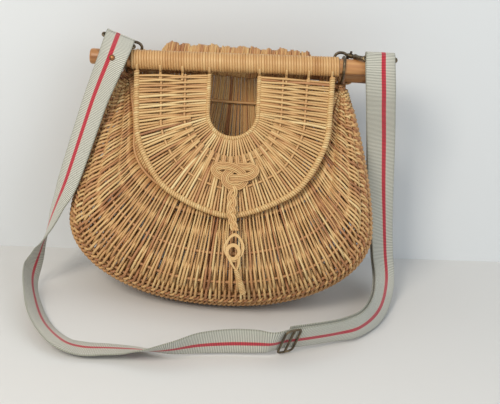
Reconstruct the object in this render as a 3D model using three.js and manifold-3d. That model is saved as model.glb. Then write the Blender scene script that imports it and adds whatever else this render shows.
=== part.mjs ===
// A half-moon wicker fishing creel bag with a lid on a dowel and a webbing strap.
// Millimetres. +X right, +Y to the back, +Z up, origin in the middle of the flat base.
// The wicker walls are thick sheets: the look script draws their ribs and strands.

import * as THREE from "three";
import { mergeVertices } from "three/addons/utils/BufferGeometryUtils.js";
import Module from "manifold-3d";

const wasm = await Module();
wasm.setup();

// Bars
const bar_radius = 8.6;
const front_bar_y = 37;
const front_bar_z = 258;
const front_bar_half_length = 147;
const wrap_radius = 10.9;
const wrap_inset = 35;
const wrap_half_length = front_bar_half_length - wrap_inset;
const back_bar_y = 57;
const back_bar_z = 250;
const back_bar_half_length = 160;
const running_gap = 0.3;
const clear_gap = 0.5;
const bore_radius = bar_radius + running_gap;

// Basket walls
const wall_half = 3;
const rib_top_z = 233;
const rib_steps = 25;
const wall_steps_per_rib = 2;
const border_radius = 3;
const rod_sides = 6;
const bar_sides = 24;
const wrap_sides = 28;
const base_sink = 2.2;

// Hump of weave over the back bar
const hump_half_length = 82;
const hump_radius = 15.4;
const hump_centre_y = 60;
const hump_centre_z = 252;
const hump_bump = 0.9;
const hump_bump_pitch = 14;
const hump_end_lift = 3;
const hump_end_fall = 12;
const cutter_over = 5;

// Lid
const lid_slope = THREE.MathUtils.degToRad(25);
const lid_skew = THREE.MathUtils.degToRad(2.08);
const lid_half = 2.25;
const lid_bow = 3;
const lid_top = 14;
const lid_rim_radius = 3.25;
const hole_half_width = 24.5;
const hole_depth = 80;
const hole_rim_radius = 2.5;
const lid_side_share = 66;

// Closure of cane
const knot_down = 119;
const knot_across = 5;
const knot_over_lid = 2.4;
const knot_thick = 1.9;
const plait_radius = 2;
const loop_tilt = 0.75;
const loop_centre = new THREE.Vector3(14, -67.6, 86.8);
const loop_half_wide = 9;
const loop_half_high = 11;
const loop_radius = 1.3;
const peg_most_thick = 3;
const peg_stops = [
  { at: [15, -78.6, 74.1], radius: 5 },
  { at: [18.5, -80.2, 63.6], radius: 2.4 },
  { at: [23.5, -80.4, 49.6], radius: 3 },
  { at: [27, -78.7, 36.6], radius: 3.6 },
];

// Metal fittings
const ring_wire_radius = 1.5;
const ring_half_height = 13;
const ring_inset = 30;
const ring_x = front_bar_half_length - ring_inset;
const ring_clearance = 1.2;
const ring_steps = 22;
const hook_half_height = 6;
const clip_body_radius = 2.6;
const hook_wire_radius = 1.6;
const hook_y = 50.5;
const eye_wire_radius = 1.5;
const eye_half_width = 18;
const eye_half_height = 2.6;
const eye_behind_strap = 1.5;
const slide_half_width = 19;
const slide_half_length = 9.5;
const slide_bar_half = 1.3;
const rivet_radius = 3;
const rivet_half_height = 0.8;
const slide_gap = 1.9;
const fitting_gap = 0.6;

// Strap
const strap_width = 32;
const strap_half = 0.75;
const layer_step = 3;

// Ribs from the back bar round the bottom to the mouth. Each is a U from one bar end to the other.
// y and z are where it crosses the middle, width is its half-width, turn is the share of its
// fall where the side ends and the curve begins, power is the curve's squareness,
// end_y and end_x are where it ends under the bar.
const ribs = [
  { y: 66.5, z: 238, width: 117, turn: 0, power: 2.2, end_y: 67, end_x: 117 },
  { y: 70, z: 206, width: 120, turn: 0.1, power: 2.1, end_y: 66, end_x: 118 },
  { y: 72, z: 160, width: 129, turn: 0.45, power: 2.1, end_y: 64, end_x: 119 },
  { y: 72, z: 114, width: 142, turn: 0.55, power: 2.1, end_y: 62, end_x: 120 },
  { y: 71, z: 70, width: 152, turn: 0.6, power: 2.1, end_y: 60, end_x: 121 },
  { y: 66, z: 29, width: 158, turn: 0.63, power: 2.05, end_y: 58, end_x: 122 },
  { y: 52, z: 8, width: 160, turn: 0.64, power: 2, end_y: 56, end_x: 122 },
  { y: 30, z: base_sink, width: 161, turn: 0.64, power: 2, end_y: 54, end_x: 122 },
  { y: -18, z: base_sink, width: 162, turn: 0.64, power: 2, end_y: 50, end_x: 122 },
  { y: -41, z: 11, width: 161, turn: 0.65, power: 2.05, end_y: 48, end_x: 121 },
  { y: -60, z: 27, width: 153, turn: 0.64, power: 2.1, end_y: 46, end_x: 120 },
  { y: -67, z: 46, width: 143, turn: 0.6, power: 2.1, end_y: 45, end_x: 119 },
  { y: -59, z: 75, width: 124, turn: 0.6, power: 2, end_y: 44.5, end_x: 118 },
  { y: -26.5, z: 104.5, width: 108, turn: 0.55, power: 2.1, end_y: 44, end_x: 117 },
  { y: -21, z: 116, width: 102, turn: 0.5, power: 2.1, end_y: 44, end_x: 116 },
];
// What the border's line adds to the last rib.
const border_seat = { y: 2.9, z: 4.2, width: -3.5, turn: 0, power: 0, end_y: -5.2, end_x: -3.7 };
const side_bow = 1.5;
const body_lean = 0.02;

// Half the lid's outline: distance down the slope from the bar and half-width there.
const lid_outline = [
  { down: 12, half: 109 },
  { down: 45, half: 107.5 },
  { down: 80, half: 105 },
  { down: 109, half: 94 },
  { down: 136, half: 76 },
  { down: 151, half: 54 },
  { down: 163, half: 27 },
  { down: 169, half: 0 },
];

// Strap route, left clip to slide to right clip: a point and the way its width runs.
// From the slide on, a second layer lies behind the first.
const strap_route = [
  { at: [-124.3, 38, 278.6], across: [0.92, 0.16, -0.28] },
  { at: [-129.6, 15.5, 258.7], across: [0.94, -0.26, -0.22] },
  { at: [-144.8, 15, 217.2], across: [0.84, -0.49, -0.23] },
  { at: [-155.9, 8, 179.3], across: [0.84, -0.53, -0.12] },
  { at: [-171, -6, 125.8], across: [0.76, -0.64, -0.1] },
  { at: [-180.1, -9, 101.9], across: [0.51, -0.85, -0.14] },
  { at: [-187.9, -9, 81.4], across: [0.34, -0.93, -0.13] },
  { at: [-195.1, -9, 61.9], across: [0.08, -1, 0.02] },
  { at: [-201.7, -11, 44.3], across: [-0.21, -0.95, 0.22] },
  { at: [-208.7, -16.3, 17], across: [-0.36, -0.3, 0.88] },
  { at: [-195.7, -71.9, 16.1], across: [-0.58, -0.21, 0.79] },
  { at: [-176, -120.9, 12.8], across: [-0.68, -0.45, 0.58] },
  { at: [-150.6, -151.1, 8], across: [-0.56, -0.78, 0.28] },
  { at: [-128.5, -157.7, 5], across: [-0.13, -0.99, 0.09] },
  { at: [-102.9, -157.5, 5.9], across: [-0.03, -0.99, 0.15] },
  { at: [-79.1, -158.8, 7.7], across: [-0.17, -0.95, 0.26] },
  { at: [-60.9, -163.7, 11.4], across: [-0.19, -0.85, 0.49] },
  { at: [-39.6, -162.9, 15.5], across: [0.03, -0.66, 0.75] },
  { at: [-14, -153.5, 18.1], across: [0.06, -0.4, 0.92] },
  { at: [17.2, -145.9, 18.9], across: [0.02, -0.27, 0.96] },
  { at: [43.9, -144.2, 19.7], across: [-0.03, -0.31, 0.95] },
  { at: [59.8, -144.7, 20.6], across: [0.09, -0.46, 0.88] },
  { at: [74.8, -135.6, 20.9], across: [0.19, -0.42, 0.89], slide: true },
  { at: [93, -128.6, 21.2], across: [0.22, -0.36, 0.91] },
  { at: [126.6, -108, 19.3], across: [0.24, -0.3, 0.92] },
  { at: [151.8, -88.4, 19.4], across: [0.1, -0.05, 0.99] },
  { at: [174.2, -40.6, 18.2], across: [-0.39, 0.07, 0.92] },
  { at: [185, 11, 26.1], across: [-0.75, -0.19, 0.63] },
  { at: [183, 36, 51.1], across: [-0.82, -0.53, 0.22] },
  { at: [178.9, 46, 86.4], across: [-0.84, -0.54, -0] },
  { at: [173.6, 50, 128.4], across: [-0.94, -0.32, -0.11] },
  { at: [167.5, 46, 181.8], across: [-0.99, -0.09, -0.14] },
  { at: [162, 33, 218], across: [-1, 0, 0] },
  { at: [159, 25, 239], across: [-1, 0, 0] },
  { at: [156, 22.5, 261], across: [-1, 0, 0.1] },
  { at: [155, 24.5, 270.8], across: [-0.99, 0, 0.12] },
  { at: [154.5, 28.5, 280], across: [-0.98, -0.05, 0.16] },
];
const slide_station = strap_route.findIndex((stop) => stop.slide);

const wicker = new THREE.MeshStandardMaterial({ color: 0xc9a066, roughness: 0.75, metalness: 0 });
const dowel = new THREE.MeshStandardMaterial({ color: 0xb07a45, roughness: 0.6, metalness: 0 });
const steel = new THREE.MeshStandardMaterial({ color: 0x5b5344, roughness: 0.4, metalness: 1 });
const webbing = new THREE.MeshStandardMaterial({ color: 0xb9bbaa, roughness: 0.9, metalness: 0 });

// A point of one rib, at a share of its fall and a distance from the middle.
function ribPoint(rib, fall, across) {
  return new THREE.Vector3(
    across,
    rib.end_y + (rib.y - rib.end_y) * fall,
    rib_top_z + (rib.z - rib_top_z) * fall,
  );
}

// The same on its straighter side, above the curve.
function ribSide(rib, fall) {
  const bowed = 1 - (1 - fall / rib.turn) ** side_bow;
  return ribPoint(rib, fall, rib.end_x + (rib.width - rib.end_x) * bowed);
}

// The whole rib from left end to right end, as points at equal distances.
function ribLine(rib, count) {
  const right = [];
  const side_steps = 14;
  if (rib.turn > 0)
    for (let i = 0; i < side_steps; i++) right.push(ribSide(rib, (rib.turn * i) / side_steps));
  const curve_steps = 40;
  for (let i = 0; i <= curve_steps; i++) {
    const angle = (Math.PI / 2) * (i / curve_steps);
    const fall = rib.turn + (1 - rib.turn) * Math.sin(angle) ** (2 / rib.power);
    right.push(ribPoint(rib, fall, rib.width * Math.cos(angle) ** (2 / rib.power)));
  }
  const left = right.slice(0, -1).map((p) => new THREE.Vector3(-p.x, p.y, p.z));
  const whole = [...left, ...right.reverse()];
  whole.forEach((p) => (p.x += body_lean * (p.z - rib_top_z)));
  return spaced(whole, count);
}

// The same line as points at equal distances along it.
function spaced(line, count) {
  const run = [0];
  for (let i = 1; i < line.length; i++) run.push(run[i - 1] + line[i].distanceTo(line[i - 1]));
  const out = [];
  let at = 1;
  for (let i = 0; i <= count; i++) {
    const want = (run[run.length - 1] * i) / count;
    while (at < line.length - 1 && run[at] < want) at++;
    const part = (want - run[at - 1]) / (run[at] - run[at - 1]);
    out.push(line[at - 1].clone().lerp(line[at], Math.min(1, part)));
  }
  return out;
}

// A smooth value between four neighbours.
function smooth(a, b, c, d, t) {
  const t2 = t * t;
  const t3 = t2 * t;
  return 0.5 * (2 * b + (c - a) * t + (2 * a - 5 * b + 4 * c - d) * t2 + (3 * b - a - 3 * c + d) * t3);
}

// A solid from points and triangles, turned so that it faces out.
function solidOf(points, faces) {
  const flat = new Float32Array(points.flatMap((p) => [p.x, p.y, p.z]));
  const shape = new THREE.BufferGeometry();
  shape.setAttribute("position", new THREE.BufferAttribute(flat, 3));
  shape.setIndex(faces.flat());
  const merged = mergeVertices(shape, 1e-4);
  const place = merged.getAttribute("position").array;
  const index = Array.from(merged.index.array);
  let volume = 0;
  const corner = [new THREE.Vector3(), new THREE.Vector3(), new THREE.Vector3()];
  for (let i = 0; i < index.length; i += 3) {
    corner.forEach((v, k) => v.fromArray(place, index[i + k] * 3));
    volume += corner[0].dot(corner[1].cross(corner[2]));
  }
  if (volume < 0)
    for (let i = 0; i < index.length; i += 3) [index[i + 1], index[i + 2]] = [index[i + 2], index[i + 1]];
  return new wasm.Manifold(
    new wasm.Mesh({
      numProp: 3,
      vertProperties: new Float32Array(place),
      triVerts: new Uint32Array(index),
    }),
  );
}

// Rings of points joined into a closed body.
function loft(rings, closed) {
  const sides = rings[0].length;
  const points = rings.flat();
  const faces = [];
  const spans = closed ? rings.length : rings.length - 1;
  for (let i = 0; i < spans; i++)
    for (let j = 0; j < sides; j++) {
      const a = i * sides + j;
      const b = i * sides + ((j + 1) % sides);
      const c = ((i + 1) % rings.length) * sides + ((j + 1) % sides);
      const d = ((i + 1) % rings.length) * sides + j;
      faces.push([a, b, c], [a, c, d]);
    }
  if (!closed) {
    const last = (rings.length - 1) * sides;
    for (let j = 1; j < sides - 1; j++) {
      faces.push([0, j + 1, j]);
      faces.push([last, last + j, last + j + 1]);
    }
  }
  return solidOf(points, faces);
}

// A grid of middle points made into a sheet of one thickness.
function sheet(grid, half) {
  const rows = grid.length;
  const columns = grid[0].length;
  const top = [];
  const under = [];
  for (let i = 0; i < rows; i++)
    for (let j = 0; j < columns; j++) {
      const along = grid[Math.min(i + 1, rows - 1)][j].clone().sub(grid[Math.max(i - 1, 0)][j]);
      const over = grid[i][Math.min(j + 1, columns - 1)].clone().sub(grid[i][Math.max(j - 1, 0)]);
      const normal = along.cross(over).normalize();
      top.push(grid[i][j].clone().addScaledVector(normal, half));
      under.push(grid[i][j].clone().addScaledVector(normal, -half));
    }
  const count = rows * columns;
  const faces = [];
  const edge = [];
  for (let i = 0; i < rows - 1; i++)
    for (let j = 0; j < columns - 1; j++) {
      const a = i * columns + j;
      const b = a + 1;
      const c = a + columns + 1;
      const d = a + columns;
      faces.push([a, b, c], [a, c, d], [count + a, count + c, count + b], [count + a, count + d, count + c]);
    }
  for (let j = 0; j < columns - 1; j++) edge.push([j + 1, j]);
  for (let i = 0; i < rows - 1; i++) edge.push([i * columns, (i + 1) * columns]);
  for (let j = 0; j < columns - 1; j++) edge.push([(rows - 1) * columns + j, (rows - 1) * columns + j + 1]);
  for (let i = 0; i < rows - 1; i++) edge.push([(i + 2) * columns - 1, (i + 1) * columns - 1]);
  for (const [a, b] of edge) faces.push([a, b, count + b], [a, count + b, count + a]);
  return solidOf([...top, ...under], faces);
}

// A round rod along a line of points.
function rod(line, radius, sides, closed = false) {
  const rings = [];
  let side = null;
  for (let i = 0; i < line.length; i++) {
    const before = closed ? line[(i + line.length - 1) % line.length] : line[Math.max(i - 1, 0)];
    const after = closed ? line[(i + 1) % line.length] : line[Math.min(i + 1, line.length - 1)];
    const along = after.clone().sub(before).normalize();
    if (!side) side = new THREE.Vector3(0.31, 0.52, 0.8);
    side = side.clone().addScaledVector(along, -side.dot(along)).normalize();
    const up = along.clone().cross(side);
    const ring = [];
    for (let k = 0; k < sides; k++) {
      const angle = (2 * Math.PI * k) / sides;
      ring.push(
        line[i]
          .clone()
          .addScaledVector(side, radius * Math.cos(angle))
          .addScaledVector(up, radius * Math.sin(angle)),
      );
    }
    rings.push(ring);
  }
  return loft(rings, closed);
}

// A straight rod with rounded ends along X.
function barRod(half_length, y, z, radius, sides) {
  const rings = [];
  const ends = [
    { back: 0, size: 0.72 },
    { back: 0.9, size: 0.9 },
    { back: 2.6, size: 1 },
  ];
  const stops = [
    ...ends.map((e) => [-half_length + e.back, radius * e.size]),
    ...ends.reverse().map((e) => [half_length - e.back, radius * e.size]),
  ];
  for (const [x, r] of stops)
    rings.push(
      Array.from({ length: sides }, (_, k) => {
        const angle = (2 * Math.PI * k) / sides;
        return new THREE.Vector3(x, y + r * Math.cos(angle), z + r * Math.sin(angle));
      }),
    );
  return loft(rings, false);
}

// A plain cylinder along X, used to cut with.
function plainRod(half_length, y, z, radius, sides) {
  return rod([new THREE.Vector3(-half_length, y, z), new THREE.Vector3(half_length, y, z)], radius, sides);
}

// A point of the lid: across, down the slope from the bar, and out from the slope.
function lidPoint(across, down, out) {
  const bowed = out + lid_bow * (1 - (across / lid_outline[0].half) ** 2);
  return new THREE.Vector3(
    across,
    front_bar_y - down * Math.sin(lid_slope) - bowed * Math.cos(lid_slope),
    front_bar_z - down * Math.cos(lid_slope) + bowed * Math.sin(lid_slope),
  );
}

// Turns lid pieces to their skewed rest about the bar's middle.
function skewed(solid) {
  const turn = new THREE.Matrix4()
    .makeTranslation(0, front_bar_y, front_bar_z)
    .multiply(new THREE.Matrix4().makeRotationY(-lid_skew))
    .multiply(new THREE.Matrix4().makeTranslation(0, -front_bar_y, -front_bar_z));
  const read = solid.getMesh();
  const points = [];
  for (let i = 0; i < read.numVert; i++)
    points.push(new THREE.Vector3().fromArray(read.vertProperties, i * read.numProp).applyMatrix4(turn));
  const faces = [];
  for (let i = 0; i < read.triVerts.length; i += 3) faces.push(Array.from(read.triVerts.slice(i, i + 3)));
  return solidOf(points, faces);
}

// Lid outline in the lid's flat coordinates, moved in by an inset, left top to right top.
function lidEdge(inset) {
  const smooth_steps = 6;
  const half = [];
  for (let i = 0; i < lid_outline.length - 1; i++) {
    const a = lid_outline[Math.max(i - 1, 0)];
    const b = lid_outline[i];
    const c = lid_outline[i + 1];
    const mirrored = { down: b.down, half: -b.half };
    const d = lid_outline[i + 2] ?? mirrored;
    for (let k = 0; k < smooth_steps; k++) {
      const t = k / smooth_steps;
      half.push(
        new THREE.Vector2(
          smooth(a.half, b.half, c.half, d.half, t),
          smooth(a.down, b.down, c.down, d.down, t),
        ),
      );
    }
  }
  const tip = lid_outline[lid_outline.length - 1].down;
  const whole = [
    ...half.map((p) => new THREE.Vector2(-p.x, p.y)),
    new THREE.Vector2(0, tip),
    ...half.reverse(),
  ];
  return whole.map((p, i) => {
    const way = whole[Math.min(i + 1, whole.length - 1)].clone().sub(whole[Math.max(i - 1, 0)]).normalize();
    return new THREE.Vector2(p.x + way.y * inset, p.y - way.x * inset);
  });
}

// Hole outline the same way, moved out from the hole by an offset.
function holeEdge(offset) {
  const half_width = hole_half_width + offset;
  const centre = hole_depth - hole_half_width;
  const arc_steps = 20;
  const line = [new THREE.Vector2(-half_width, lid_top)];
  for (let k = 0; k <= arc_steps; k++) {
    const angle = Math.PI * (1 - k / arc_steps);
    line.push(new THREE.Vector2(half_width * Math.cos(angle), centre + half_width * Math.sin(angle)));
  }
  line.push(new THREE.Vector2(half_width, lid_top));
  return line;
}

// A share of a flat line's length between two stops.
function flatSpaced(line, count) {
  return spaced(
    line.map((p) => new THREE.Vector3(p.x, p.y, 0)),
    count,
  );
}

// Basket walls
const wall_ribs = [];
const last_rib = ribs.length - 1;
for (let i = 0; i < last_rib; i++)
  for (let k = 0; k < wall_steps_per_rib; k++) {
    const t = k / wall_steps_per_rib;
    const near = [ribs[Math.max(i - 1, 0)], ribs[i], ribs[i + 1], ribs[Math.min(i + 2, last_rib)]];
    const mixed = {};
    for (const key of Object.keys(ribs[0])) mixed[key] = smooth(...near.map((r) => r[key]), t);
    mixed.turn = Math.max(0, mixed.turn);
    wall_ribs.push(mixed);
  }
wall_ribs.push(ribs[last_rib]);
const wall_grid = wall_ribs.map((rib) => ribLine(rib, rib_steps));
const floor_reach = 4 * back_bar_half_length;
const below_floor = wasm.Manifold.cube([floor_reach, floor_reach, floor_reach], true)
  .translate([0, 0, -floor_reach / 2]);
const basket_shell = sheet(wall_grid, wall_half).subtract(below_floor);
const mouth_rib = {};
for (const key of Object.keys(border_seat)) mouth_rib[key] = ribs[last_rib][key] + border_seat[key];
const mouth_border = rod(ribLine(mouth_rib, rib_steps), border_radius, rod_sides);

// Bars and the hump
const back_bar = barRod(back_bar_half_length, back_bar_y, back_bar_z, bar_radius, bar_sides);
const front_bar = skewed(barRod(front_bar_half_length, front_bar_y, front_bar_z, bar_radius, bar_sides));
const wrap_outer = plainRod(wrap_half_length, front_bar_y, front_bar_z, wrap_radius, wrap_sides);
const wrap_bore = plainRod(wrap_half_length + cutter_over, front_bar_y, front_bar_z, bore_radius, bar_sides);
const bar_wrap = skewed(wrap_outer.subtract(wrap_bore));
const hump_rings = [];
const hump_steps = 26;
const hump_sides = 12;
for (let i = 0; i <= hump_steps; i++) {
  const x = -hump_half_length + (2 * hump_half_length * i) / hump_steps;
  const end_fall = Math.min(1, (hump_half_length - Math.abs(x) + hump_end_lift) / hump_end_fall);
  const radius = (hump_radius - hump_bump) * Math.sqrt(end_fall) +
    hump_bump * Math.sin((2 * Math.PI * x) / hump_bump_pitch);
  hump_rings.push(
    Array.from({ length: hump_sides }, (_, k) => {
      const angle = (2 * Math.PI * k) / hump_sides;
      return new THREE.Vector3(
        x,
        hump_centre_y + radius * Math.cos(angle),
        hump_centre_z + radius * Math.sin(angle),
      );
    }),
  );
}
const hump_bore = plainRod(hump_half_length + cutter_over, back_bar_y, back_bar_z, bore_radius, bar_sides);
const wrap_room = skewed(
  plainRod(hump_half_length + cutter_over, front_bar_y, front_bar_z, wrap_radius + clear_gap, wrap_sides),
);
const back_bar_hump = loft(hump_rings, false).subtract(hump_bore).subtract(wrap_room);

// Lid panel between the hole's rim and the outer rim
const hole_line = holeEdge(2 * hole_rim_radius + clear_gap);
const edge_line = lidEdge(2 * lid_rim_radius + clear_gap);
const side_count = 5;
const bottom_count = 28;
const side_end = edge_line.findIndex((p) => p.y > lid_side_share);
const side_back = edge_line.length - 1 - side_end;
const panel_top = lid_top + clear_gap;
const trimmed = (line) => line.filter((p) => p.y >= panel_top);
const left_side = [
  new THREE.Vector2(edge_line[0].x, panel_top),
  ...trimmed(edge_line.slice(0, side_end + 1)),
];
const right_side = [
  ...trimmed(edge_line.slice(side_back)),
  new THREE.Vector2(edge_line[edge_line.length - 1].x, panel_top),
];
const outer_line = [
  ...flatSpaced(left_side, side_count).slice(0, -1),
  ...flatSpaced(edge_line.slice(side_end, side_back + 1), bottom_count),
  ...flatSpaced(right_side, side_count).slice(1),
];
const raised = hole_line.map((p) => new THREE.Vector2(p.x, Math.max(p.y, panel_top)));
const inner_line = [
  ...flatSpaced(raised.slice(0, 2), side_count).slice(0, -1),
  ...flatSpaced(raised.slice(1, -1), bottom_count),
  ...flatSpaced(raised.slice(-2), side_count).slice(1),
];
const panel_steps = 3;
const panel_grid = inner_line.map((inner, i) =>
  Array.from({ length: panel_steps + 1 }, (_, k) => {
    const p = inner.clone().lerp(outer_line[i], k / panel_steps);
    return lidPoint(p.x, p.y, 0);
  }),
);
const lid_panel = skewed(sheet(panel_grid, lid_half));
const rim_steps = 36;
const hole_rim_steps = 26;
const edge_rod = flatSpaced(lidEdge(lid_rim_radius), rim_steps).map((p) => lidPoint(p.x, p.y, 0));
const lid_rim = skewed(rod(edge_rod, lid_rim_radius, rod_sides));
const hole_rod = flatSpaced(holeEdge(hole_rim_radius), hole_rim_steps).map((p) => lidPoint(p.x, p.y, 0));
const hole_rim = skewed(rod(hole_rod, hole_rim_radius, rod_sides));

// Closure of cane: knot, plait, loop and wrapped peg
const knot_lobes = [
  { across: -11, down: -3, half_wide: 12.5, half_high: 8.5 },
  { across: 11, down: -3, half_wide: 12.5, half_high: 8.5 },
  { across: 0, down: 3, half_wide: 13, half_high: 9.5 },
];
const lobe_steps = 14;
const knot_rings = knot_lobes.map((lobe) => {
  const line = [];
  for (let k = 0; k < lobe_steps; k++) {
    const angle = (2 * Math.PI * k) / lobe_steps;
    const across = knot_across + lobe.across + lobe.half_wide * Math.cos(angle);
    const down = knot_down + lobe.down + lobe.half_high * Math.sin(angle);
    line.push(lidPoint(across, down, lid_half + knot_over_lid));
  }
  return rod(line, knot_thick, rod_sides, true);
});
const closure_knot = skewed(knot_rings[0].add(knot_rings[1]).add(knot_rings[2]));
const plait_stops = [
  { across: 3.5, below_knot: 15.5, out: 4.8 },
  { across: 3, below_knot: 27, out: 5 },
  { across: 3.2, below_knot: 39, out: 8.6 },
  { across: 3.6, below_knot: 48, out: 9.4 },
  { across: 5.5, below_knot: 56, out: 12 },
  { across: 7.8, below_knot: 64.5, out: 17.8 },
];
const plait_line = plait_stops.map((stop) => lidPoint(stop.across, knot_down + stop.below_knot, stop.out));
const closure_plait = skewed(rod(plait_line, plait_radius, 8));
const loop_steps = 24;
const loop_line = [];
for (let k = 0; k < loop_steps; k++) {
  const angle = (2 * Math.PI * k) / loop_steps;
  const rise = loop_half_high * Math.sin(angle);
  const shift = new THREE.Vector3(loop_half_wide * Math.cos(angle), rise * loop_tilt, rise);
  loop_line.push(loop_centre.clone().add(shift));
}
const closure_loop = rod(loop_line, loop_radius, rod_sides, true);
const peg_sides = 12;
const peg_rings = peg_stops.map((stop) =>
  Array.from({ length: peg_sides }, (_, k) => {
    const angle = (2 * Math.PI * k) / peg_sides;
    const thick = Math.min(stop.radius, peg_most_thick);
    const shift = new THREE.Vector3(stop.radius * Math.cos(angle), thick * Math.sin(angle), 0);
    return new THREE.Vector3(...stop.at).add(shift);
  }),
);
const closure_peg = loft(peg_rings, false);

// Rings round both bars, each standing across its pair of bars
function ringRound(side) {
  const x = side * ring_x;
  const front = new THREE.Vector2(front_bar_y, front_bar_z + x * Math.sin(lid_skew));
  const back = new THREE.Vector2(back_bar_y, back_bar_z);
  const centre = front.clone().add(back).multiplyScalar(0.5);
  const way = back.clone().sub(front).normalize();
  const half_length = front.distanceTo(back) / 2 + bar_radius + ring_clearance + ring_wire_radius;
  const line = [];
  for (let k = 0; k < ring_steps; k++) {
    const angle = (2 * Math.PI * k) / ring_steps;
    const a = half_length * Math.cos(angle);
    const b = ring_half_height * Math.sin(angle);
    line.push(new THREE.Vector3(x, centre.x + a * way.x - b * way.y, centre.y + a * way.y + b * way.x));
  }
  return line;
}
const left_ring = rod(ringRound(-1), ring_wire_radius, rod_sides, true);
const right_ring = rod(ringRound(1), ring_wire_radius, rod_sides, true);

// Strap
function strapFrames(from, to, steps, shift) {
  const frames = [];
  for (let i = from; i < to; i++)
    for (let k = 0; k < steps; k++) {
      const near = [i - 1, i, i + 1, i + 2].map(
        (n) => strap_route[Math.min(Math.max(n, 0), strap_route.length - 1)],
      );
      const t = k / steps;
      const blend = (key, axis) => smooth(...near.map((s) => s[key][axis]), t);
      frames.push({
        at: new THREE.Vector3(blend("at", 0), blend("at", 1), blend("at", 2)),
        across: new THREE.Vector3(blend("across", 0), blend("across", 1), blend("across", 2)),
      });
    }
  const last = strap_route[to];
  frames.push({ at: new THREE.Vector3(...last.at), across: new THREE.Vector3(...last.across) });
  return frames.map((frame, i) => {
    const along = frames[Math.min(i + 1, frames.length - 1)].at
      .clone()
      .sub(frames[Math.max(i - 1, 0)].at)
      .normalize();
    const across = frame.across.clone().addScaledVector(along, -frame.across.dot(along)).normalize();
    const face = along.clone().cross(across).normalize();
    return { at: frame.at.clone().addScaledVector(face, shift), along, across, face };
  });
}
function ribbon(frames) {
  return loft(
    frames.map(({ at, across, face }) =>
      [
        [1, 1],
        [0, 1],
        [-1, 1],
        [-1, -1],
        [0, -1],
        [1, -1],
      ].map(([a, b]) =>
        at
          .clone()
          .addScaledVector(across, (a * strap_width) / 2)
          .addScaledVector(face, b * strap_half),
      ),
    ),
    false,
  );
}
const route_steps = 4;
const last_station = strap_route.length - 1;
const long_frames = strapFrames(0, last_station, route_steps, 0);
const return_frames = strapFrames(slide_station, last_station - 1, route_steps, -layer_step);
const strap_long = ribbon(long_frames);
const strap_return = ribbon(return_frames);

// A point of a round-cornered loop: higher squareness gives straighter sides.
function loopPoint(centre, wide_way, wide, tall_way, tall, turn, squareness) {
  const bend = (value, power) => Math.sign(value) * Math.abs(value) ** power;
  return centre
    .clone()
    .addScaledVector(wide_way, wide * bend(Math.cos(turn), 1 - squareness))
    .addScaledVector(tall_way, tall * bend(Math.sin(turn), 1 - squareness / 2));
}

// Snap clips: a long closed hook round the ring, a body and a wide eye above the strap's end
const hook_steps = 14;
const eye_steps = 14;
const eye_squareness = 0.6;
const body_start_out = 0.8;
const body_start_up = 0.6;
function clip(side, hook_inset, hook_half, frame, body_to_side) {
  const high = ringRound(side).filter((p) => p.z > (front_bar_z + back_bar_z) / 2);
  const near = high.sort((p, q) => Math.abs(p.y - hook_y) - Math.abs(q.y - hook_y))[0];
  const across_bar = new THREE.Vector3(1, 0, 0);
  const upright = new THREE.Vector3(0, 0, 1);
  const hook_centre = new THREE.Vector3(side * (ring_x - hook_inset), hook_y, near.z);
  const hook_line = Array.from({ length: hook_steps }, (_, k) => {
    const turn = (2 * Math.PI * k) / hook_steps;
    return loopPoint(hook_centre, across_bar, hook_half, upright, hook_half_height, turn, 0);
  });
  const over = frame.along.clone().multiplyScalar(side);
  const eye = frame.at
    .clone()
    .addScaledVector(over, -eye_half_height - eye_wire_radius)
    .addScaledVector(frame.face, -strap_half - eye_wire_radius - eye_behind_strap);
  const eye_line = Array.from({ length: eye_steps }, (_, k) => {
    const turn = (2 * Math.PI * (k + 0.5)) / eye_steps;
    return loopPoint(eye, frame.across, eye_half_width, over, eye_half_height, turn, eye_squareness);
  });
  const body_from = hook_centre
    .clone()
    .addScaledVector(across_bar, side * hook_half * body_start_out)
    .addScaledVector(upright, hook_half_height * body_start_up);
  const body_to = eye.clone().addScaledVector(frame.across, body_to_side * eye_half_width);
  const body = rod([body_from, body_to], clip_body_radius, 8);
  return rod(hook_line, hook_wire_radius, rod_sides, true)
    .add(body)
    .add(rod(eye_line, eye_wire_radius, rod_sides, true));
}
const left_clip = clip(-1, 5, 9.5, long_frames[0], 0);
const right_clip = clip(1, 2.5, 7, long_frames[long_frames.length - 1], 1);

// Adjuster slide on the strap's front, and the rivet near the left clip
function placed(solid, frame, shift) {
  const out = frame.across.clone().cross(frame.along);
  const turn = new THREE.Matrix4().makeBasis(frame.across, frame.along, out);
  const way = new THREE.Vector3(0, 0, 1).transformDirection(turn).dot(frame.face) > 0 ? 1 : -1;
  turn.setPosition(frame.at.clone().addScaledVector(frame.face, shift));
  const read = solid.getMesh();
  const points = [];
  for (let i = 0; i < read.numVert; i++) {
    const p = new THREE.Vector3().fromArray(read.vertProperties, i * read.numProp);
    p.z *= way;
    points.push(p.applyMatrix4(turn));
  }
  const faces = [];
  for (let i = 0; i < read.triVerts.length; i += 3) faces.push(Array.from(read.triVerts.slice(i, i + 3)));
  return solidOf(points, faces);
}
const block = (x, y, z) => wasm.Manifold.cube([x, y, z], true);
const slide_side = 2;
const slide_window = (slide_half_length - 1.5 * slide_bar_half) / 2 + running_gap;
const slide_hole = block(2 * (slide_half_width - slide_side), 2 * slide_window, 4 * slide_bar_half);
const slide_flat = block(2 * slide_half_width, 2 * slide_half_length, 2 * slide_bar_half)
  .subtract(slide_hole.translate([0, slide_window + slide_bar_half, 0]))
  .subtract(slide_hole.translate([0, -slide_window - slide_bar_half, 0]));
const slide_frame = strapFrames(slide_station - 1, slide_station, route_steps, 0)[route_steps];
const strap_slide = placed(slide_flat, slide_frame, strap_half + slide_gap + slide_bar_half);
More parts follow.
